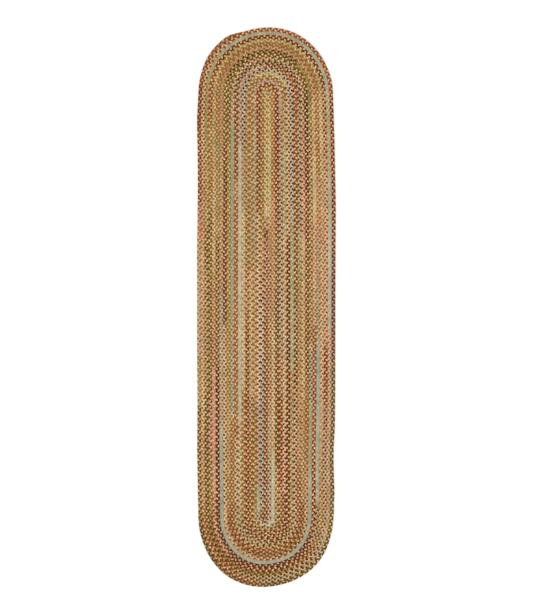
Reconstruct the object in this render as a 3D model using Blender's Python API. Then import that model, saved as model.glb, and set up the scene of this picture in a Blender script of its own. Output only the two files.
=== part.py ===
"""Braided runner: a flat three-strand braid wound into a long oval and laced edge to edge.

The braid starts as one straight run up the middle of the rug. It turns over the top of that run,
comes down beside it, turns under its foot and so goes round and round, one braid width further out
each time, until it tapers away against the lap inside it at the top left.

The solid is that coil: every lap is a low rounded rib, neighbouring laps share the seam between
them, and the underside is flat. Metres, +Z up, +Y along the rug, origin under its middle.
"""

import math

import bmesh
import bpy
from mathutils import Vector

RUG_LENGTH = 2.44
BRAID_WIDTH = 0.0163
BRAID_THICKNESS = 0.0095
RUNS_BESIDE_FIRST = 18
SEAM_HEIGHT = 0.0052

# The long straight runs, and the half turns that join them at the two ends
RUN_STEPS = 6
TURN_STEPS = 24
STEPS = RUN_STEPS + TURN_STEPS

# Where a lap's section is cut, from its inner seam (0) towards its outer seam (1)
SECTION_CUTS = (0.0, 0.2, 0.5, 0.8)

# The last lap ends in a taper, counted in steps of its turn over the top end
TAPER_START = 7
TAPER_END = 9

# The worn lower edge of the outermost lap
EDGE_TUCK = ((0.0016, 0.0008), (0.0, 0.0034))

# The rug lies a little unevenly: narrower towards its ends, more so on the right, and skewed at its foot
END_NARROWING = 0.018
NARROWING_LINE_X = -0.05
NARROWING_FROM_Y = 0.30
NARROWING_OVER_Y = 0.65
FOOT_SKEW = 0.022

YARN_COLOUR = (0.42, 0.27, 0.13, 1.0)
YARN_ROUGHNESS = 0.92

HALF_TURNS = 2 * RUNS_BESIDE_FIRST + 1
TOP_TURN_Y = RUG_LENGTH / 2 - RUNS_BESIDE_FIRST * BRAID_WIDTH
FOOT_TURN_Y = (RUNS_BESIDE_FIRST + 0.5) * BRAID_WIDTH - RUG_LENGTH / 2
MERGE_DISTANCE = 0.00002


def clear_scene():
    for old in list(bpy.data.objects):
        bpy.data.objects.remove(old, do_unlink=True)


def smooth_step(value):
    held = min(max(value, 0.0), 1.0)
    return held * held * (3.0 - 2.0 * held)


def lay_down(x, y):
    """Moves a point of the even oval to where it lies in the slightly uneven rug."""
    narrowing = END_NARROWING * smooth_step((abs(y) - NARROWING_FROM_Y) / NARROWING_OVER_Y)
    skew = FOOT_SKEW * smooth_step((FOOT_TURN_Y - y) / (RUNS_BESIDE_FIRST * BRAID_WIDTH))
    return NARROWING_LINE_X + (x - NARROWING_LINE_X) * (1.0 - narrowing), y + skew * x


def coil_place(half_turn, step, across):
    """A point of the coil on the ground plane.

    Even half turns go up on the left and over the top, odd ones down on the right and under the
    foot. across runs from 0 at the lap's inner seam to 1 at its outer seam.
    """
    going_up = half_turn % 2 == 0
    centre_x = BRAID_WIDTH / 2 if going_up else 0.0
    centre_y = TOP_TURN_Y if going_up else FOOT_TURN_Y
    side = 1.0 if going_up else -1.0
    radius = (half_turn / 2 + across) * BRAID_WIDTH
    if step < RUN_STEPS:
        run_length = TOP_TURN_Y - FOOT_TURN_Y
        return centre_x - side * radius, centre_y - side * run_length * (1 - step / RUN_STEPS)
    angle = math.pi * (step - RUN_STEPS) / TURN_STEPS
    return centre_x - side * radius * math.cos(angle), centre_y + side * radius * math.sin(angle)


def rib_height(across):
    """The half ellipse of a lap's top, standing on its two seams."""
    from_crown = 2.0 * across - 1.0
    rise = math.sqrt(max(0.0, 1.0 - from_crown * from_crown))
    return SEAM_HEIGHT + (BRAID_THICKNESS - SEAM_HEIGHT) * rise


def lap_fullness(half_turn, step):
    """1 along the coil, falling to 0 where the last lap tapers away."""
    if half_turn < HALF_TURNS - 1:
        return 1.0
    gone = (step - RUN_STEPS - TAPER_START) / (TAPER_END - TAPER_START)
    return 1.0 - smooth_step(gone)


def lap_point(half_turn, step, across):
    fullness = lap_fullness(half_turn, step)
    x, y = lay_down(*coil_place(half_turn, step, across * fullness))
    rise = (rib_height(across) - SEAM_HEIGHT) * math.sqrt(fullness)
    return Vector((x, y, SEAM_HEIGHT + rise))


def add_lap(mesh, half_turn):
    """One half turn of the coil, from its inner seam to its outer seam."""
    last_step = STEPS if half_turn < HALF_TURNS - 1 else RUN_STEPS + TAPER_END
    cuts = SECTION_CUTS + (1.0,)
    rows = [
        [mesh.verts.new(lap_point(half_turn, step, across)) for across in cuts]
        for step in range(last_step + 1)
    ]
    skin_between(mesh, rows)


def add_start_cap(mesh):
    """The rounded foot of the first run, swept half round from the run's right seam to its left."""
    inner_half = [across for across in SECTION_CUTS + (1.0,) if across >= 0.5]
    rows = []
    for step in range(TURN_STEPS + 1):
        angle = math.pi * step / TURN_STEPS
        row = []
        for across in inner_half:
            radius = (across - 0.5) * BRAID_WIDTH
            x, y = lay_down(radius * math.cos(angle), FOOT_TURN_Y - radius * math.sin(angle))
            row.append(mesh.verts.new((x, y, rib_height(across))))
        rows.append(row)
    skin_between(mesh, rows)


def skin_between(mesh, rows):
    for row, next_row in zip(rows, rows[1:]):
        for inner in range(len(row) - 1):
            mesh.faces.new((row[inner], row[inner + 1], next_row[inner + 1], next_row[inner]))


def inward_from(point):
    """The level direction from the rim towards the middle line of the rug."""
    spine_y = min(max(point.y, FOOT_TURN_Y), TOP_TURN_Y)
    return Vector((-point.x, spine_y - point.y, 0.0)).normalized()


def close_underside(mesh):
    """Rounds the rim down to the floor and closes it with one flat face."""
    rim = [edge for edge in mesh.edges if edge.is_boundary]
    rim_points = {vert: (vert.co.copy(), inward_from(vert.co)) for edge in rim for vert in edge.verts}
    for height, tuck in EDGE_TUCK:
        extruded = bmesh.ops.extrude_edge_only(mesh, edges=rim)["geom"]
        rim = [item for item in extruded if isinstance(item, bmesh.types.BMEdge)]
        lowered = {}
        for vert in (item for item in extruded if isinstance(item, bmesh.types.BMVert)):
            place, inward = nearest_rim_point(rim_points, vert)
            vert.co = place + inward * tuck
            vert.co.z = height
            lowered[vert] = (place, inward)
        rim_points = lowered
    bmesh.ops.edgeloop_fill(mesh, edges=rim)


def nearest_rim_point(rim_points, vert):
    """What is known of the rim vertex that this new one was extruded from."""
    for edge in vert.link_edges:
        other = edge.other_vert(vert)
        if other in rim_points:
            return rim_points[other]
    raise ValueError("a rim vertex has lost its neighbour")


def build_yarn_material():
    material = bpy.data.materials.new("braided_yarn")
    material.use_nodes = True
    shader = material.node_tree.nodes["Principled BSDF"]
    shader.inputs["Base Color"].default_value = YARN_COLOUR
    shader.inputs["Roughness"].default_value = YARN_ROUGHNESS
    shader.inputs["Metallic"].default_value = 0.0
    return material


def build_rug():
    mesh = bmesh.new()
    add_start_cap(mesh)
    for half_turn in range(HALF_TURNS):
        add_lap(mesh, half_turn)
    bmesh.ops.remove_doubles(mesh, verts=mesh.verts, dist=MERGE_DISTANCE)
    close_underside(mesh)
    bmesh.ops.recalc_face_normals(mesh, faces=mesh.faces)

    data = bpy.data.meshes.new("braided_rug")
    mesh.to_mesh(data)
    mesh.free()
    data.shade_smooth()
    data.materials.append(build_yarn_material())

    rug = bpy.data.objects.new("braided_rug", data)
    collection = bpy.data.collections.new("braided_rug_runner")
    bpy.context.scene.collection.children.link(collection)
    collection.objects.link(rug)


clear_scene()
build_rug()
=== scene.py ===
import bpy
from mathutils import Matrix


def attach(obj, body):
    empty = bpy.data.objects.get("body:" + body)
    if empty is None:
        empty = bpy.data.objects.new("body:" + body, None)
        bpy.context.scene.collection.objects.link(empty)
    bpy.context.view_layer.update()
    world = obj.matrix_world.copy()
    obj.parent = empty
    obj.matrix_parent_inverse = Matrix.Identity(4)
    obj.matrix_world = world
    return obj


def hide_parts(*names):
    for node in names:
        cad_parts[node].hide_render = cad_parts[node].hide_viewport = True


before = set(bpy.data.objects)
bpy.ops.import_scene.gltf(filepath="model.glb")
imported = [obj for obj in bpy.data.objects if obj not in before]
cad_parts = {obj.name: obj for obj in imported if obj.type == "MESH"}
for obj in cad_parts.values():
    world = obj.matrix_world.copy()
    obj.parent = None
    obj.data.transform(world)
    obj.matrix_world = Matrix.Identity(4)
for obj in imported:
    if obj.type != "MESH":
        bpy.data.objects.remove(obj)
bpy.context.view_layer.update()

import math

import bpy
import numpy as np

scene = bpy.context.scene


def smoothStep(value):
    held = np.clip(value, 0.0, 1.0)
    return held * held * (3.0 - 2.0 * held)


def toLinear(colour):
    # an everyday 0 to 255 colour as Blender's linear one
    part = np.asarray(colour, float) / 255.0
    return np.where(part <= 0.04045, part / 12.92, ((part + 0.055) / 1.055) ** 2.4)


def softNoise(places, spacing, seed):
    # smooth random values from -1 to 1 along a line, one fresh value every spacing metres
    knots = np.random.default_rng(seed).uniform(-1.0, 1.0, int(places.max() / spacing) + 4)
    at = np.maximum(places, 0.0) / spacing
    left = at.astype(int)
    part = smoothStep(at - left)
    return knots[left] * (1.0 - part) + knots[left + 1] * part


# the coil: one long braid laid as an oval, up on the left and down on the right
coil = {
    "rugLength": 2.44,
    "braidWidth": 0.0163,
    "runsBesideFirst": 18,
    "taperFrom": 7 / 24,        # of the last turn, where the braid starts to thin out
    "taperTo": 9 / 24,
    "thinnest": 0.34,           # its width there, as a share of the full braid
    "tuck": 0.0028,             # and how far it sinks into the side of the turn before
    "startRounding": 0.52,      # how far from its start the braid is rounded off, in braid widths
    "tipRounding": 0.3,         # and from its tip
    "leastFullness": 0.10,
    "endNarrowing": 0.018,      # the rug lies a little narrower towards its ends
    "narrowingLine": -0.05,     # drawn in towards this line
    "narrowingFrom": 0.30,      # from this far out from the middle, and over this length
    "narrowingOver": 0.65,
    "footSkew": 0.022,          # and its foot lies a little askew
    "wander": 0.00022,          # sideways drift of the braid, hand laid
    "wanderEvery": 0.11,
    # metres round the rim from the foot end of the right side, and millimetres that it strays outwards
    "strays": {
        0.02: 0, 0.11: 2, 0.21: -2.4, 0.30: -3.8, 0.40: 0, 0.90: 0.5, 1.20: 1.5, 1.35: 3.4, 1.63: 1.8,
        1.73: 0, 1.86: -3.6, 1.97: -5.3, 2.07: -4.2, 2.18: -2.5, 2.34: -5.4, 2.44: -3, 2.60: 1, 2.70: -2.7,
        2.76: -3.6, 2.89: 2.4, 3.08: -2.4, 3.18: -4.4, 3.37: -3.2, 3.46: -1.6, 3.84: -2, 4.13: -3.6,
        4.32: 0, 4.51: -1.3, 4.64: -3.7, 4.75: -3.4, 4.93: 3.6, 5.07: 1.6, 5.15: 0, 5.31: 5.8, 5.38: 4,
        5.49: -2.7, 5.54: -2.8,
    },
}

braidWidth = coil["braidWidth"]
halfTurns = 2 * coil["runsBesideFirst"] + 1
topTurnY = coil["rugLength"] / 2 - coil["runsBesideFirst"] * braidWidth
footTurnY = (coil["runsBesideFirst"] + 0.5) * braidWidth - coil["rugLength"] / 2
runLength = topTurnY - footTurnY
turnLengths = math.pi * (np.arange(halfTurns) / 2 + 0.5) * braidWidth
halfTurnStarts = np.concatenate([[0.0], np.cumsum(runLength + turnLengths)])
braidEnd = halfTurnStarts[-2] + runLength + turnLengths[-1] * coil["taperTo"]
openRimFrom = halfTurnStarts[-4] + runLength + turnLengths[-3] * coil["taperFrom"]


def strayFrom(x, y):
    # how far each place has strayed sideways, the more the nearer it is to the rim
    rimRadius = (coil["runsBesideFirst"] + 0.5) * braidWidth
    straight = coil["rugLength"] / 2 - rimRadius
    besideY = np.clip(y, -straight, straight)
    fromMiddle = np.maximum(np.hypot(x, y - besideY), 1e-9)
    angle = np.arctan2(y - besideY, x) % (2 * math.pi)
    around = rimRadius * angle + np.where(x < 0, 3 * straight - besideY, straight + besideY)
    around += 4 * straight * (y < -straight) * (x >= 0)
    strays = coil["strays"]
    rimLength = 4 * straight + 2 * math.pi * rimRadius
    reach = np.interp(around, list(strays), list(strays.values()), period=rimLength) / 1000
    reach *= np.minimum(fromMiddle / rimRadius, 1.0) ** 2
    return x / fromMiddle * reach, (y - besideY) / fromMiddle * reach


def layDown(x, y):
    outwards = (np.abs(y) - coil["narrowingFrom"]) / coil["narrowingOver"]
    narrowing = coil["endNarrowing"] * smoothStep(outwards)
    skew = coil["footSkew"] * smoothStep((footTurnY - y) / (coil["runsBesideFirst"] * braidWidth))
    strayX, strayY = strayFrom(x, y)
    line = coil["narrowingLine"]
    return line + (x - line) * (1.0 - narrowing) + strayX, y + skew * x + strayY


def endFullness(places):
    # 1 along the braid, less where its end thins out
    gone = (places - halfTurnStarts[-2] - runLength) / turnLengths[-1] - coil["taperFrom"]
    return 1.0 - (1.0 - coil["thinnest"]) * smoothStep(gone / (coil["taperTo"] - coil["taperFrom"]))


def fullnessAt(places):
    # less at both ends, where the braid is rounded off
    back = np.minimum(places, 0.0) / (coil["startRounding"] * braidWidth)
    atStart = np.sqrt(np.clip(1.0 - back ** 2, 0.0, 1.0))
    atTip = np.sqrt(np.clip((braidEnd - places) / (coil["tipRounding"] * braidWidth), 0.0, 1.0))
    return np.maximum(atStart * endFullness(places) * atTip, coil["leastFullness"])


def coilPoint(places, across):
    # across is the distance outwards from the braid's middle line
    half = np.clip(np.searchsorted(halfTurnStarts, places, side="right") - 1, 0, halfTurns - 1)
    along = places - halfTurnStarts[half]
    goingUp = half % 2 == 0
    side = np.where(goingUp, 1.0, -1.0)
    middleX = np.where(goingUp, braidWidth / 2, 0.0)
    middleY = np.where(goingUp, topTurnY, footTurnY)
    middleRadius = (half / 2 + 0.5) * braidWidth
    angle = np.maximum(along - runLength, 0.0) / middleRadius
    full = endFullness(places)
    radius = (half / 2 + 0.5 * full) * braidWidth - coil["tuck"] * (1.0 - full) + across
    behind = np.maximum(runLength - along, 0.0)
    x = middleX - side * radius * np.cos(angle)
    y = middleY + side * (radius * np.sin(angle) - behind)
    return layDown(x, y)


# the yarns: a main tone and the tone it drifts to, as everyday 0 to 255 colours
yarns = {
    "cream": ((236, 208, 168), (222, 190, 146)),
    "peach": ((234, 191, 148), (220, 175, 132)),
    "tan": ((203, 164, 118), (187, 150, 104)),
    "straw": ((225, 197, 144), (211, 181, 128)),
    "gold": ((164, 123, 56), (144, 103, 44)),
    "khaki": ((184, 160, 104), (168, 146, 88)),
    "olive": ((146, 114, 42), (130, 98, 32)),
    "moss": ((164, 148, 82), (148, 134, 66)),
    "sage": ((188, 175, 138), (174, 161, 124)),
    "mint": ((206, 197, 168), (192, 184, 156)),
    "blueGrey": ((184, 178, 156), (160, 164, 144)),
    "grey": ((213, 192, 159), (197, 178, 145)),
    "lilac": ((208, 178, 148), (192, 164, 134)),
    "salmon": ((204, 144, 112), (186, 128, 98)),
    "rust": ((164, 102, 46), (146, 88, 38)),
    "brick": ((146, 66, 25), (128, 53, 18)),
    "maroon": ((104, 42, 18), (90, 33, 14)),
    "brown": ((117, 60, 18), (101, 50, 14)),
    "espresso": ((72, 32, 14), (58, 25, 10)),
    "darkOlive": ((116, 81, 24), (100, 68, 18)),
}

# Which three yarns are in the braid, half turn by half turn: metres along that half turn, then the
# yarns of the three strands. Even half turns go up the left and over the top, odd ones come back.
yarnChart = [
    "0 rust peach brown, 0.83 salmon peach maroon, 1.22 tan brown peach, 1.31 olive straw straw",
    "0 moss straw straw, 0.52 gold peach tan, 0.70 brown peach tan, 1.35 rust grey lilac, "
    "1.59 brown grey grey, 1.84 brown grey rust",
    "0 maroon blueGrey grey, 0.66 maroon grey cream, 0.94 maroon tan peach, 1.05 olive tan peach, "
    "1.22 rust gold straw, 1.80 gold gold straw",
    "0 rust gold peach, 0.44 rust tan peach, 0.98 rust straw cream, 1.57 sage mint cream, "
    "1.88 brown sage mint",
    "0 sage grey khaki, 0.09 lilac lilac brick, 0.52 peach cream brown, 1.35 peach rust brown, "
    "1.57 peach brick brown",
    "0 peach brick maroon, 0.37 peach rust maroon, 0.61 straw gold darkOlive, "
    "0.85 straw darkOlive darkOlive, 1.59 straw darkOlive khaki",
    "0 straw olive rust, 0.48 peach khaki rust, 1.09 grey sage rust, 1.74 grey lilac rust",
    "0 blueGrey lilac salmon, 0.10 sage lilac brick, 0.52 grey lilac maroon, 0.98 grey lilac brick, "
    "1.13 peach salmon brick, 1.29 peach brick brick, 1.66 peach brick salmon, 1.79 peach brown gold",
    "0 straw brick gold, 0.36 straw brick tan, 0.52 straw lilac gold, 0.70 straw straw gold, "
    "1.09 rust straw moss, 1.55 rust straw gold",
    "0 rust khaki straw, 0.22 moss straw sage, 0.57 olive straw straw, 0.92 olive straw cream, "
    "1.44 maroon peach peach, 1.76 maroon gold peach",
    "0 maroon rust peach, 0.83 brick salmon peach, 1.05 brick moss peach, 1.35 rust moss peach, "
    "1.92 straw moss straw, 2.07 peach maroon grey",
    "0 peach brown straw, 0.57 peach brown maroon, 1.59 peach brick maroon, 1.92 peach brown gold",
    "0 straw rust gold, 0.52 straw moss cream, 1.35 khaki rust grey, 1.57 lilac espresso grey",
    "0 lilac espresso grey, 0.46 sage rust grey, 0.61 sage moss mint, 1.18 khaki rust straw, "
    "1.83 gold maroon straw, 2.0 khaki brown grey",
    "0 lilac olive cream, 0.42 lilac grey mint, 1.61 lilac rust grey, 1.99 brick rust peach",
    "0 brick rust peach, 0.39 brown rust straw, 0.87 espresso tan cream, 0.99 espresso rust cream, "
    "1.30 espresso tan cream, 1.87 brown khaki straw",
    "0 brown straw straw, 0.34 rust gold peach, 0.57 rust rust peach, 1.33 rust tan peach, "
    "1.44 rust brown peach, 1.87 gold espresso lilac",
    "0 sage maroon lilac, 0.57 grey olive sage, 0.83 peach rust moss, 1.18 peach rust tan, "
    "1.61 peach rust brick",
    "0 peach rust rust, 0.39 grey olive tan, 0.46 grey olive sage, 0.87 blueGrey moss sage, "
    "1.68 lilac gold grey, 1.87 tan brown peach",
    "0 tan brick peach, 0.33 peach brick peach, 0.61 peach tan straw, 0.70 straw olive straw, "
    "1.35 khaki rust straw, 1.79 gold brown tan",
    "0 gold olive straw, 0.20 gold tan straw, 0.50 rust moss straw, 1.35 olive moss straw, "
    "1.61 olive darkOlive straw, 1.95 darkOlive darkOlive straw",
    "0 espresso brown straw, 0.13 maroon brown peach, 0.39 maroon rust peach, 1.22 rust rust peach, "
    "1.57 brick tan peach, 1.87 brown gold peach, 2.18 rust tan peach",
    "0 maroon peach peach, 0.09 brown straw peach, 0.78 brown peach brown, 1.61 brown straw gold, "
    "1.92 espresso tan olive, 2.27 olive khaki moss",
    "0 olive straw moss, 0.17 brown straw khaki, 1.10 brown sage mint, 1.35 khaki blueGrey sage, "
    "1.61 blueGrey blueGrey sage",
    "0 blueGrey blueGrey sage, 0.35 rust grey mint, 0.96 rust tan peach, 1.55 rust tan tan",
    "0 gold straw peach, 0.26 khaki cream peach, 0.52 rust peach peach, 1.0 rust brick peach, "
    "1.48 rust maroon peach, 1.92 maroon brown sage",
    "0 maroon maroon peach, 0.61 brown olive straw, 1.18 moss olive straw, 1.66 gold rust straw, "
    "1.90 gold rust tan",
    "0 gold rust peach, 0.35 tan rust peach, 0.57 sage rust grey, 0.83 sage rust mint, "
    "1.09 blueGrey blueGrey blueGrey, 1.50 blueGrey lilac mint, 1.74 maroon tan lilac, "
    "1.92 maroon brick peach, 2.40 brick salmon peach",
    "0 brick salmon peach, 0.11 salmon salmon peach, 0.59 salmon peach brick, 0.72 salmon peach rust, "
    "1.0 tan peach olive, 1.10 peach peach gold, 1.57 khaki straw gold",
    "0 straw straw gold, 0.33 peach tan gold, 0.61 peach straw rust, 1.35 peach tan khaki, "
    "1.59 straw rust khaki, 1.92 peach brown olive, 2.08 khaki brown olive",
    "0 straw gold olive, 0.26 peach salmon brown, 0.52 straw olive darkOlive, 1.35 straw rust gold, "
    "1.74 peach rust brick, 1.92 peach brown brown",
    "0 peach maroon salmon, 0.22 peach brick peach, 1.05 brick brick peach, 1.35 maroon salmon peach, "
    "1.59 brown tan peach, 1.96 espresso khaki peach, 2.40 brown rust tan",
    "0 darkOlive darkOlive straw, 0.52 brown khaki peach, 1.09 brown gold straw, "
    "1.24 olive khaki straw, 1.66 olive sage khaki, 1.87 moss sage sage, 2.05 sage blueGrey sage",
    "0 moss sage grey, 0.35 sage blueGrey mint, 0.52 blueGrey mint mint, 1.0 tan mint grey, "
    "1.06 rust grey grey, 1.60 gold lilac grey, 2.00 brown khaki grey, 2.30 brick gold peach",
    "0 rust tan peach, 0.31 rust straw peach, 1.22 rust salmon peach, 1.40 brick straw peach, "
    "1.70 brown tan peach, 2.10 brick rust peach",
    "0 maroon brick peach, 0.70 maroon brick lilac, 1.18 darkOlive darkOlive straw, "
    "2.15 darkOlive darkOlive tan",
    "0 brown olive straw, 0.48 gold khaki straw, 0.65 gold lilac grey, 1.05 rust tan grey, "
    "1.22 rust salmon peach, 1.35 rust maroon peach, 1.65 brick maroon tan, 1.87 rust brick tan",
]

yarnHabits = {
    "splice": 0.035,            # how long one yarn takes to give way to the next
    "spliceScatter": 0.045,     # the strands don't change at quite the same place
    "driftEvery": 0.085,        # space dyeing: how often a yarn's tone drifts
    "stitchEvery": 0.014,       # smaller changes from stitch to stitch
    "stitchDepth": 0.18,
    "redLean": 0.065,           # how far the yarn leans to red or to green
    "yellowLean": 0.09,         # and to yellow or to blue
    "leanEvery": 0.030,         # how often these two leanings change
    "seed": 41,
}


def readChart():
    starts, names = [], []
    for halfTurn, row in enumerate(yarnChart):
        for stretch in row.split(", "):
            start, *three = stretch.split()
            starts.append(halfTurnStarts[halfTurn] + float(start))
            names.append(three)
    return np.array(starts), names


stretchStarts, stretchYarns = readChart()


def yarnColours(strand, places):
    # the linear colour of one strand at each place along the braid
    tones = np.array([[toLinear(tone) for tone in yarns[three[strand]]] for three in stretchYarns])
    seed = yarnHabits["seed"] + 10 * strand
    draws = np.random.default_rng(seed).uniform(-1.0, 1.0, len(stretchStarts))
    starts = stretchStarts + draws * yarnHabits["spliceScatter"]
    starts[0] = -1.0    # the first yarns reach back past the braid's rounded start
    now = np.clip(np.searchsorted(starts, places, side="right") - 1, 0, len(starts) - 1)
    before = np.maximum(now - 1, 0)
    arrived = smoothStep((places - starts[now]) / yarnHabits["splice"])[:, None, None]
    pair = tones[before] * (1.0 - arrived) + tones[now] * arrived
    drift = (0.5 + 0.5 * softNoise(places, yarnHabits["driftEvery"], seed + 1))[:, None]
    colour = pair[:, 0] * (1.0 - drift) + pair[:, 1] * drift
    stitch = 1.0 + yarnHabits["stitchDepth"] * softNoise(places, yarnHabits["stitchEvery"], seed + 2)
    redder = yarnHabits["redLean"] * softNoise(places, yarnHabits["leanEvery"], seed + 3)
    yellower = yarnHabits["yellowLean"] * softNoise(places, yarnHabits["leanEvery"], seed + 4)
    lean = np.stack([1.0 + redder, 1.0 - redder, 1.0 - redder - yellower], axis=1)
    return np.clip(colour * stitch[:, None] * lean, 0.0, 1.0)


# the braid: three flat strands plaited over and under each other
braid = {
    "period": 0.0269,           # one strand's way from edge to edge and back
    # where the rings lie within half a period, closest where the strand is on top
    "ringsInStitch": (0, 1 / 6, 1 / 3, 1 / 2, 3 / 4),
    "spareHalves": 6,           # half periods laid out past both ends of the braid, then left off
    "section": ((1.0, -0.05), (0.66, 0.9), (-0.66, 0.9), (-1.0, -0.05), (0.0, -1.0)),
    "sideways": 0.0049,         # how far a strand swings from the middle line
    "squareness": 0.06,         # how much longer it stays out at the edge
    "upDown": 0.0019,           # and how far it rises and dives
    "middleHeight": 0.00475,
    "halfWidth": 0.0040,
    "fuller": 0.10,             # a strand is widest where it lies on top
    "halfThickness": 0.0036,
    "bank": math.radians(21),   # a strand leans outwards over the braid's shoulder
    "unevenness": 0.05,         # of its width and thickness
    "unevenEvery": 0.019,
    "bareFrom": 0.0015,         # how far out the rim's own side starts to be spared the painted groove shade, and where it all is
    "bareTo": 0.0055,
    "probe": 0.001,             # a short way outwards, to find the direction
    "seed": 83,
}

bakeMap = {
    "rows": 30,                 # strips that a lap's strands are cut into, one above another
    "margin": 0.06,             # left free along each side of a strip
    "stripsTo": 0.98,           # the strips fill the map up to here
    "capLine": 0.99,            # and the strands' cut ends lie in a line above them
    "firstCap": 0.05,
    "capEvery": 0.1,
    "capRadius": 0.004,
    "capOnYarn": 0.5,           # their size on the yarn's own map, against that on this one
}


def strandPath(strand, first, last):
    # where the rings of one strand go between two places along the braid; the next lap's first ring
    # is this lap's last
    spare = braid["spareHalves"]
    halves = np.arange(-spare, math.ceil(2 * braidEnd / braid["period"]) + spare)
    places = (halves[:, None] + np.array(braid["ringsInStitch"])).ravel() * braid["period"] / 2
    places -= strand / 3 * braid["period"]
    return places[np.searchsorted(places, first):np.searchsorted(places, last) + 1]


def strandRings(strand, places):
    # one ring more at each end, so that the last direction is the next lap's first
    places = np.concatenate([[2 * places[0] - places[1]], places, [2 * places[-1] - places[-2]]])
    seed = braid["seed"] + 10 * strand
    phase = 2 * math.pi * (places / braid["period"] + strand / 3)
    full = fullnessAt(places)
    wander = coil["wander"] * softNoise(places, coil["wanderEvery"], braid["seed"])
    swing = braid["sideways"] * (np.sin(phase) + braid["squareness"] * np.sin(3 * phase)) * full
    rise = braid["upDown"] * np.sin(2 * phase) * np.sqrt(full)
    x, y = coilPoint(places, swing + wander)
    z = braid["middleHeight"] + rise
    centre = np.stack([x, y, z], axis=1)

    # the strand's own direction, and the level and upright directions square to it
    ahead = np.gradient(centre, places, axis=0)
    ahead /= np.linalg.norm(ahead, axis=1)[:, None]
    level = np.cross(ahead, (0.0, 0.0, 1.0))
    level /= np.linalg.norm(level, axis=1)[:, None]
    upright = np.cross(level, ahead)

    # outwards is to the left of the way the braid goes, so a strand on that side banks the other way
    lean = braid["bank"] * np.sin(2 * phase) * np.sin(phase)
    across = level * np.cos(lean)[:, None] + upright * np.sin(lean)[:, None]
    through = upright * np.cos(lean)[:, None] - level * np.sin(lean)[:, None]

    plump = 1.0 + braid["unevenness"] * softNoise(places, braid["unevenEvery"], seed + 1)
    width = braid["halfWidth"] * full * plump * (1.0 + braid["fuller"] * np.abs(np.sin(2 * phase)))
    thickness = braid["halfThickness"] * np.sqrt(full) * plump
    wide, high = np.array(braid["section"]).T
    rings = (
        centre[:, None]
        + across[:, None] * (width[:, None] * wide)[:, :, None]
        + through[:, None] * (thickness[:, None] * high)[:, :, None]
    )
    # pressed flat below by the floor, and above to the rug's thickness
    rings[:, :, 2] = np.clip(rings[:, :, 2], 0.0, 2 * braid["middleHeight"])
    return rings[1:-1]


def rimSide(places, rings):
    # 1 on the side of the outermost turns that nothing lies against, so that it gets no painted groove
    # shade
    middle = np.stack(coilPoint(places, 0.0), axis=1)
    outwards = np.stack(coilPoint(places, braid["probe"]), axis=1) - middle
    outwards /= np.linalg.norm(outwards, axis=1)[:, None]
    offset = ((rings[:, :, :2] - middle[:, None]) * outwards[:, None]).sum(axis=2)
    onRim = places > openRimFrom
    share = (offset - braid["bareFrom"]) / (braid["bareTo"] - braid["bareFrom"])
    return smoothStep(share) * onRim[:, None]


def bakeStrips(number, corner, sideAt, inRow):
    # where each quad lies on the bake map, numbered along all of a lap's strands
    sides = len(braid["section"])
    acrossStrip = bakeMap["margin"] + (1.0 - 2 * bakeMap["margin"]) * sideAt / sides
    stripU = (number % inRow)[:, :, None] + corner[:, 0]
    stripV = (number // inRow)[:, :, None] + acrossStrip
    upTo = bakeMap["stripsTo"]
    return np.stack([stripU / inRow, stripV / bakeMap["rows"] * upTo], axis=-1).reshape(-1, 2)


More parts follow.
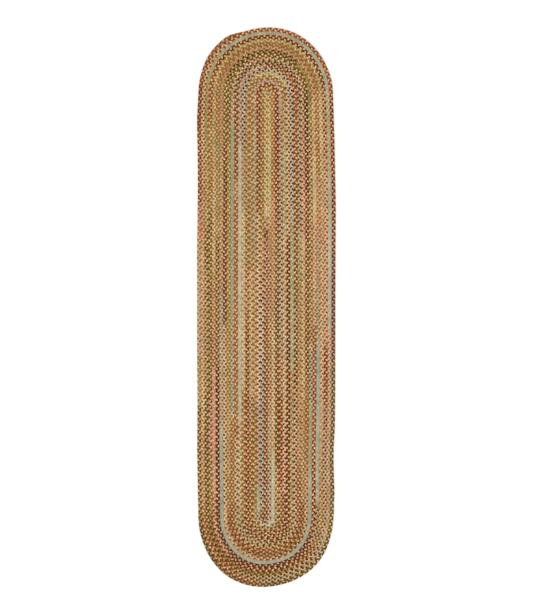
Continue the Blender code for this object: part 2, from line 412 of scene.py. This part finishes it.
def lapMesh(name, first, last):
    sides = len(braid["section"])
    strands = [strandPath(strand, first, last) for strand in range(3)]
    inRow = math.ceil(sum(len(places) - 1 for places in strands) / bakeMap["rows"])
    # a quad's corners, along and around, in the order that makes it face outwards
    corner = np.array([[0, 1], [1, 1], [1, 0], [0, 0]])
    points, quads, caps, bakeUv, yarnUv, colours, bare = [], [], [], [], [], [], []
    before = 0
    segment = 0
    for strand, places in enumerate(strands):
        rings = strandRings(strand, places)
        count = len(places)
        points.append(rings.reshape(-1, 3))
        colours.append(np.repeat(yarnColours(strand, places), sides, axis=0))
        bare.append(rimSide(places, rings).ravel())
        ring, side = np.meshgrid(np.arange(count - 1), np.arange(sides), indexing="ij")
        ringAt = ring[:, :, None] + corner[:, 0]
        sideAt = side[:, :, None] + corner[:, 1]
        quads.append((before + ringAt * sides + sideAt % sides).reshape(-1, 4))
        bakeUv.append(bakeStrips(segment + ring, corner, sideAt, inRow))
        # for the yarn's own pattern the map is in metres along and turns around
        yarnUv.append(np.stack([places[ringAt], sideAt / sides], axis=-1).reshape(-1, 2))
        startCap = before + np.arange(sides)
        caps += [startCap[::-1], startCap + (count - 1) * sides]
        before += count * sides
        segment += count - 1

    turn = 2 * math.pi * np.arange(sides) / sides
    disc = bakeMap["capRadius"] * np.stack([np.cos(turn), np.sin(turn)], axis=1)
    for number in range(len(caps)):
        bakeUv.append(disc + (bakeMap["firstCap"] + bakeMap["capEvery"] * number, bakeMap["capLine"]))
        yarnUv.append(disc * bakeMap["capOnYarn"])

    points, quads = np.concatenate(points), np.concatenate(quads)
    loops = np.concatenate([quads.ravel(), *caps])
    starts = np.concatenate([np.arange(len(quads)) * 4, quads.size + np.arange(len(caps)) * sides])
    mesh = bpy.data.meshes.new(name)
    mesh.vertices.add(len(points))
    mesh.vertices.foreach_set("co", points.astype(np.float32).ravel())
    mesh.loops.add(len(loops))
    mesh.loops.foreach_set("vertex_index", loops.astype(np.int32))
    mesh.polygons.add(len(starts))
    mesh.polygons.foreach_set("loop_start", starts.astype(np.int32))
    mesh.polygons.foreach_set("use_smooth", np.arange(len(starts)) < len(quads))    # not the cut ends
    for mapName, values in (("OFBake", bakeUv), ("yarnLay", yarnUv)):
        uvMap = mesh.uv_layers.new(name=mapName)
        uvMap.uv.foreach_set("vector", np.concatenate(values).astype(np.float32).ravel())
    # the colour's alpha says where the yarn lies bare on the rim, where the painted groove shade is lifted
    colours = np.column_stack([np.concatenate(colours), np.concatenate(bare)])
    addYarnColour(mesh, colours)
    mesh.validate()
    return mesh


def addYarnColour(mesh, colours):
    shade = mesh.color_attributes.new(name="yarnColour", type="FLOAT_COLOR", domain="POINT")
    shade.data.foreach_set("color", colours.astype(np.float32).ravel())
    mesh.update(calc_edges=True)


def newGroup(name, inputs, outputs):
    group = bpy.data.node_groups.new(name, "ShaderNodeTree")
    for label, kind in inputs:
        group.interface.new_socket(label, in_out="INPUT", socket_type=kind)
    for label, kind in outputs:
        group.interface.new_socket(label, in_out="OUTPUT", socket_type=kind)
    return group, group.nodes.new("NodeGroupInput"), group.nodes.new("NodeGroupOutput")


def addMath(tree, operation, first, second=None):
    node = tree.nodes.new("ShaderNodeMath")
    node.operation = operation
    for socket, value in zip(node.inputs, (first, second)):
        if value is None:
            continue
        if isinstance(value, (int, float)):
            socket.default_value = value
        else:
            tree.links.new(value, socket)
    return node.outputs[0]


def addMapRange(tree, value, fromLow, fromHigh, toLow, toHigh):
    node = tree.nodes.new("ShaderNodeMapRange")
    tree.links.new(value, node.inputs["Value"])
    ends = {"From Min": fromLow, "From Max": fromHigh, "To Min": toLow, "To Max": toHigh}
    for label, number in ends.items():
        if isinstance(number, (int, float)):
            node.inputs[label].default_value = number
        else:
            tree.links.new(number, node.inputs[label])
    return node.outputs["Result"]


def addShade(tree, colour, shade):
    # a colour made lighter or darker by a value round 1
    node = tree.nodes.new("ShaderNodeVectorMath")
    node.operation = "SCALE"
    tree.links.new(colour, node.inputs[0])
    tree.links.new(shade, node.inputs["Scale"])
    return node.outputs["Vector"]


woolHabits = {
    "endRoundness": 0.6,        # under 1 makes a yarn end's back fuller
    "hairDetail": 3.0,
    "hairRoughness": 0.6,
    "hairRange": (0.32, 0.68),  # the part of the noise that is spread out from 0 to 1
}


def buildYarnPlies():
    # a strand is a bundle of twisted ends: their rounded height, and each end's own shade
    group, given, out = newGroup(
        "yarnPlies",
        [("Lay", "NodeSocketVector"), ("Ends", "NodeSocketFloat"), ("Twists Per Metre", "NodeSocketFloat")],
        [("Height", "NodeSocketFloat"), ("Shade", "NodeSocketFloat")],
    )
    split = group.nodes.new("ShaderNodeSeparateXYZ")
    group.links.new(given.outputs["Lay"], split.inputs[0])
    aroundYarn = addMath(group, "MULTIPLY", split.outputs["Y"], given.outputs["Ends"])
    twisted = addMath(group, "MULTIPLY", split.outputs["X"], given.outputs["Twists Per Metre"])
    place = addMath(group, "ADD", aroundYarn, twisted)
    within = addMath(group, "FRACT", place)
    bow = addMath(group, "SINE", addMath(group, "MULTIPLY", within, math.pi))
    group.links.new(addMath(group, "POWER", bow, woolHabits["endRoundness"]), out.inputs["Height"])
    # the end's number stays the same all the way round, so its shade has no seam
    number = addMath(group, "FLOOR", place)
    lot = group.nodes.new("ShaderNodeTexWhiteNoise")
    lot.noise_dimensions = "1D"
    group.links.new(addMath(group, "FLOORED_MODULO", number, given.outputs["Ends"]), lot.inputs["W"])
    group.links.new(lot.outputs["Value"], out.inputs["Shade"])
    return group


def buildWoolFibre():
    # fine hairs drawn out along the yarn
    group, given, out = newGroup(
        "woolFibre",
        [("Place", "NodeSocketVector"), ("Scale", "NodeSocketFloat")],
        [("Value", "NodeSocketFloat")],
    )
    noise = group.nodes.new("ShaderNodeTexNoise")
    noise.inputs["Detail"].default_value = woolHabits["hairDetail"]
    noise.inputs["Roughness"].default_value = woolHabits["hairRoughness"]
    group.links.new(given.outputs["Place"], noise.inputs["Vector"])
    group.links.new(given.outputs["Scale"], noise.inputs["Scale"])
    hairs = addMapRange(group, noise.outputs["Fac"], *woolHabits["hairRange"], 0.0, 1.0)
    group.links.new(hairs, out.inputs["Value"])
    return group


def buildPaintedGrooveLight():
    # painted light for the grooves: 1 on the rug's two faces, 0 in the grooves halfway between them, where
    # the yarn colour gets painted shade, and bare yarn is lit there too
    group, given, out = newGroup(
        "paintedGrooveLight",
        [
            ("Middle", "NodeSocketFloat"),
            ("Dark Within", "NodeSocketFloat"),
            ("Lit Beyond", "NodeSocketFloat"),
            ("Bare", "NodeSocketFloat"),
        ],
        [("Value", "NodeSocketFloat")],
    )
    where = group.nodes.new("ShaderNodeNewGeometry")
    split = group.nodes.new("ShaderNodeSeparateXYZ")
    group.links.new(where.outputs["Position"], split.inputs[0])
    above = addMath(group, "SUBTRACT", split.outputs["Z"], given.outputs["Middle"])
    away = addMath(group, "ABSOLUTE", above)
    lit = addMapRange(group, away, given.outputs["Dark Within"], given.outputs["Lit Beyond"], 0.0, 1.0)
    lit.node.interpolation_type = "SMOOTHSTEP"
    group.links.new(addMath(group, "MAXIMUM", lit, given.outputs["Bare"]), out.inputs["Value"])
    return group


yarnPlies = buildYarnPlies()
woolFibre = buildWoolFibre()
paintedGrooveLight = buildPaintedGrooveLight()
print("shared effects built")


def placeGroup(tree, group, **values):
    # an input's name is given with _ for each space
    node = tree.nodes.new("ShaderNodeGroup")
    node.node_tree = group
    for label, value in values.items():
        socket = node.inputs[label.replace("_", " ")]
        if isinstance(value, (int, float)):
            socket.default_value = value
        else:
            tree.links.new(value, socket)
    return node


def addBump(tree, height, strength, distance, normal=None):
    node = tree.nodes.new("ShaderNodeBump")
    node.inputs["Strength"].default_value = strength
    node.inputs["Distance"].default_value = distance
    tree.links.new(height, node.inputs["Height"])
    if normal is not None:
        tree.links.new(normal, node.inputs["Normal"])
    return node.outputs["Normal"]


def newMaterial(name):
    material = bpy.data.materials.new(name)
    material.use_nodes = True
    return material, material.node_tree, material.node_tree.nodes["Principled BSDF"]


braidFinish = {
    "ends": 11,                 # yarn ends side by side round a strand
    "twistsPerMetre": 60,
    "endShade": (0.90, 1.10),   # one end against the next
    "paintedCreaseShade": (0.82, 1.03),    # painted shade between two ends, and a slight painted highlight on an end's back
    "fibreStretch": (420.0, 40.0, 1.0),
    "fibreShade": (0.90, 1.10),
    "paintedGrooveShade": (0.65, 0.80),    # painted shade: the colour's scale where the yarn dives, and where it lies on top
    "darkWithin": 0.0010,
    "litBeyond": 0.0040,
    "roughness": (0.97, 0.86),
    "endBump": (0.6, 0.0005),   # strength, and height in metres
    "fibreBump": (0.4, 0.0002),
    "sheen": 0.02,
    "sheenRoughness": 0.5,
    "gloss": 0.04,
}


def buildBraidFinish():
    look = braidFinish
    material, tree, shader = newMaterial("braidedYarn")
    lay = tree.nodes.new("ShaderNodeUVMap")
    lay.uv_map = "yarnLay"
    tint = tree.nodes.new("ShaderNodeVertexColor")
    tint.layer_name = "yarnColour"
    plies = placeGroup(
        tree, yarnPlies,
        Lay=lay.outputs["UV"],
        Ends=look["ends"],
        Twists_Per_Metre=look["twistsPerMetre"],
    )
    stretch = tree.nodes.new("ShaderNodeVectorMath")
    stretch.operation = "MULTIPLY"
    stretch.inputs[1].default_value = look["fibreStretch"]
    tree.links.new(lay.outputs["UV"], stretch.inputs[0])
    fibre = placeGroup(tree, woolFibre, Place=stretch.outputs["Vector"], Scale=1.0)
    groove = placeGroup(
        tree, paintedGrooveLight,
        Middle=braid["middleHeight"],
        Dark_Within=look["darkWithin"],
        Lit_Beyond=look["litBeyond"],
        Bare=tint.outputs["Alpha"],
    )
    colour = tint.outputs["Color"]
    # painted shade: the groove light and the ply height darken the yarn colour in the grooves and between
    # ends; the end shade and the fibre are the yarn's own random tone
    for value, shades in (
        (groove.outputs["Value"], look["paintedGrooveShade"]),
        (plies.outputs["Shade"], look["endShade"]),
        (plies.outputs["Height"], look["paintedCreaseShade"]),
        (fibre.outputs["Value"], look["fibreShade"]),
    ):
        colour = addShade(tree, colour, addMapRange(tree, value, 0.0, 1.0, *shades))
    tree.links.new(colour, shader.inputs["Base Color"])
    rough = addMapRange(tree, plies.outputs["Height"], 0.0, 1.0, *look["roughness"])
    tree.links.new(rough, shader.inputs["Roughness"])
    normal = addBump(tree, plies.outputs["Height"], *look["endBump"])
    normal = addBump(tree, fibre.outputs["Value"], *look["fibreBump"], normal)
    tree.links.new(normal, shader.inputs["Normal"])
    shader.inputs["Sheen Weight"].default_value = look["sheen"]
    shader.inputs["Sheen Roughness"].default_value = look["sheenRoughness"]
    shader.inputs["Specular IOR Level"].default_value = look["gloss"]
    return material


def linkPiece(name, mesh, material):
    piece = bpy.data.objects.new(name, mesh)
    mesh.materials.append(material)
    scene.collection.objects.link(piece)
    return piece


def buildLaps():
    finish = buildBraidFinish()
    laps = []
    for number in range(coil["runsBesideFirst"]):
        isLast = number == coil["runsBesideFirst"] - 1
        first = halfTurnStarts[2 * number] if number else -0.5 * braidWidth
        last = braidEnd if isLast else halfTurnStarts[2 * number + 2]
        name = f"braid_lap_{number + 1:02d}"
        laps.append(linkPiece(name, lapMesh(name, first, last), finish))
    print("laps", len(laps), "quads", sum(len(lap.data.polygons) for lap in laps))
    return laps


laps = buildLaps()

core = {
    "bottom": 0.0036,
    "seam": 0.0064,             # height at the seam, where two turns are laced together
    "crown": 0.0066,            # and under the middle of a braid
    "step": 0.05,               # along the runs
    "turnStep": math.radians(9),
    "startSteps": 4,
    "rimInset": 0.0030,         # kept back from the rug's rim, out of sight
    "shade": 0.90,              # painted shade: the core takes this share of the braid's own colour there, a little darker at the bottom of the seams
}


def coreStations():
    # short steps round the braid's own start, wide ones along the runs and shorter ones round the turns
    quarter = np.arange(core["startSteps"]) / core["startSteps"] * math.pi / 2
    stations = [-0.5 * braidWidth * np.cos(quarter)]
    for half in range(halfTurns):
        start = halfTurnStarts[half]
        stations.append(start + np.arange(0.0, runLength - core["step"] / 2, core["step"]))
        count = max(math.ceil(math.pi / core["turnStep"]), math.ceil(turnLengths[half] / core["step"]))
        stations.append(start + runLength + np.arange(count) / count * turnLengths[half])
    stations = np.concatenate(stations)
    return stations[stations < braidEnd - coil["tipRounding"] * braidWidth]


coreFinish = {
    "fibreScale": 700.0,
    "fibreShade": (0.85, 1.15),
    "roughness": (0.98, 0.90),
    "fibreBump": (0.5, 0.0004),
    "gloss": 0.2,
}


def buildCoreFinish():
    look = coreFinish
    material, tree, shader = newMaterial("packedYarn")
    where = tree.nodes.new("ShaderNodeTexCoord")
    tint = tree.nodes.new("ShaderNodeVertexColor")
    tint.layer_name = "yarnColour"
    fibre = placeGroup(tree, woolFibre, Place=where.outputs["Object"], Scale=look["fibreScale"])
    shade = addMapRange(tree, fibre.outputs["Value"], 0.0, 1.0, *look["fibreShade"])
    tree.links.new(addShade(tree, tint.outputs["Color"], shade), shader.inputs["Base Color"])
    rough = addMapRange(tree, fibre.outputs["Value"], 0.0, 1.0, *look["roughness"])
    tree.links.new(rough, shader.inputs["Roughness"])
    normal = addBump(tree, fibre.outputs["Value"], *look["fibreBump"])
    tree.links.new(normal, shader.inputs["Normal"])
    shader.inputs["Specular IOR Level"].default_value = look["gloss"]
    return material


def buildCore():
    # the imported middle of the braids, laced edge to edge, which shows only at the bottom of the seams
    places = coreStations()
    wide = 0.5 * braidWidth * fullnessAt(places)
    outer = wide - core["rimInset"] * (places > openRimFrom)
    # painted shade: the core is the braid's mean yarn colour made a little darker, for the shade at the
    # bottom of the seams
    yarn = sum(yarnColours(strand, places) for strand in range(3)) / 3 * core["shade"]
    points = []
    for across, height in (
        (outer, core["seam"]),
        (0.0 * wide, core["crown"]),
        (-wide, core["seam"]),
        (-wide, core["bottom"]),
        (outer, core["bottom"]),
    ):
        x, y = coilPoint(places, across)
        points.append(np.stack([x, y, np.full(len(x), height)], axis=1))
    count, sides = len(places), len(points)
    points = np.stack(points, axis=1).reshape(-1, 3)
    ring, side = np.meshgrid(np.arange(count - 1) * sides, np.arange(sides), indexing="ij")
    after = (side + 1) % sides
    faces = np.stack([ring + side, ring + sides + side, ring + sides + after, ring + after], axis=-1)
    faces = faces.reshape(-1, 4)[:, ::-1].tolist()
    last = (count - 1) * sides
    faces += [list(range(sides)), list(range(last + sides - 1, last - 1, -1))]
    mesh = bpy.data.meshes.new("laced_core")
    mesh.from_pydata(points.tolist(), [], faces)
    colours = np.repeat(yarn, sides, axis=0)
    addYarnColour(mesh, np.column_stack([colours, np.ones(len(colours))]))
    return linkPiece("laced_core", mesh, buildCoreFinish())


lacedCore = buildCore()
print("core built")

for piece in [lacedCore, *laps]:
    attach(piece, "root")
    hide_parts("braided_rug")


studio = {
    "floorSize": 30.0,
    "floorBelow": 0.0002,       # so that the floor and the rug's underside aren't in one plane
    "floorColour": (244, 244, 243),
    "floorRoughness": 0.9,
    "speckScale": 14.0,
    "speckShade": (0.997, 1.0),
    "skyStrength": 1.05,
    "keyStrength": 1.0,
    "keyAngle": math.radians(38),
    "keyTurn": (math.radians(32), 0.0, math.radians(-35)),
}

view = {
    "metresInPicture": 2.6767,  # the height that the frame takes in
    "height": 8.0,
    "aside": (0.0026, -0.0020),    # the camera stands a little beside the rug's middle
    "sensor": 36.0,
    "farthest": 100.0,
}


def buildFloor():
    half = studio["floorSize"] / 2
    mesh = bpy.data.meshes.new("floor")
    corners = [(-half, -half, 0), (half, -half, 0), (half, half, 0), (-half, half, 0)]
    mesh.from_pydata(corners, [], [(0, 1, 2, 3)])
    material, tree, shader = newMaterial("paleFloor")
    where = tree.nodes.new("ShaderNodeTexCoord")
    speck = placeGroup(tree, woolFibre, Place=where.outputs["Object"], Scale=studio["speckScale"])
    colour = tree.nodes.new("ShaderNodeRGB")
    colour.outputs[0].default_value = (*toLinear(studio["floorColour"]), 1.0)
    shade = addMapRange(tree, speck.outputs["Value"], 0.0, 1.0, *studio["speckShade"])
    tree.links.new(addShade(tree, colour.outputs[0], shade), shader.inputs["Base Color"])
    shader.inputs["Roughness"].default_value = studio["floorRoughness"]
    floor = linkPiece("floor", mesh, material)
    floor.location.z = -studio["floorBelow"]


def buildLight():
    world = bpy.data.worlds.new("paleStudio")
    world.use_nodes = True
    sky = world.node_tree.nodes["Background"]
    sky.inputs["Color"].default_value = (1.0, 1.0, 1.0, 1.0)
    sky.inputs["Strength"].default_value = studio["skyStrength"]
    scene.world = world
    key = bpy.data.lights.new("softKey", "SUN")
    key.energy = studio["keyStrength"]
    key.angle = studio["keyAngle"]
    keyLight = bpy.data.objects.new("softKey", key)
    keyLight.rotation_euler = studio["keyTurn"]
    scene.collection.objects.link(keyLight)


def buildCamera():
    data = bpy.data.cameras.new("above")
    data.sensor_width = view["sensor"]
    data.lens = data.sensor_width * view["height"] / view["metresInPicture"]
    data.clip_end = view["farthest"]
    camera = bpy.data.objects.new("above", data)
    camera.location = (*view["aside"], view["height"])
    scene.collection.objects.link(camera)
    scene.camera = camera


buildFloor()
buildLight()
buildCamera()
scene.view_settings.view_transform = "Standard"
print("stage set")
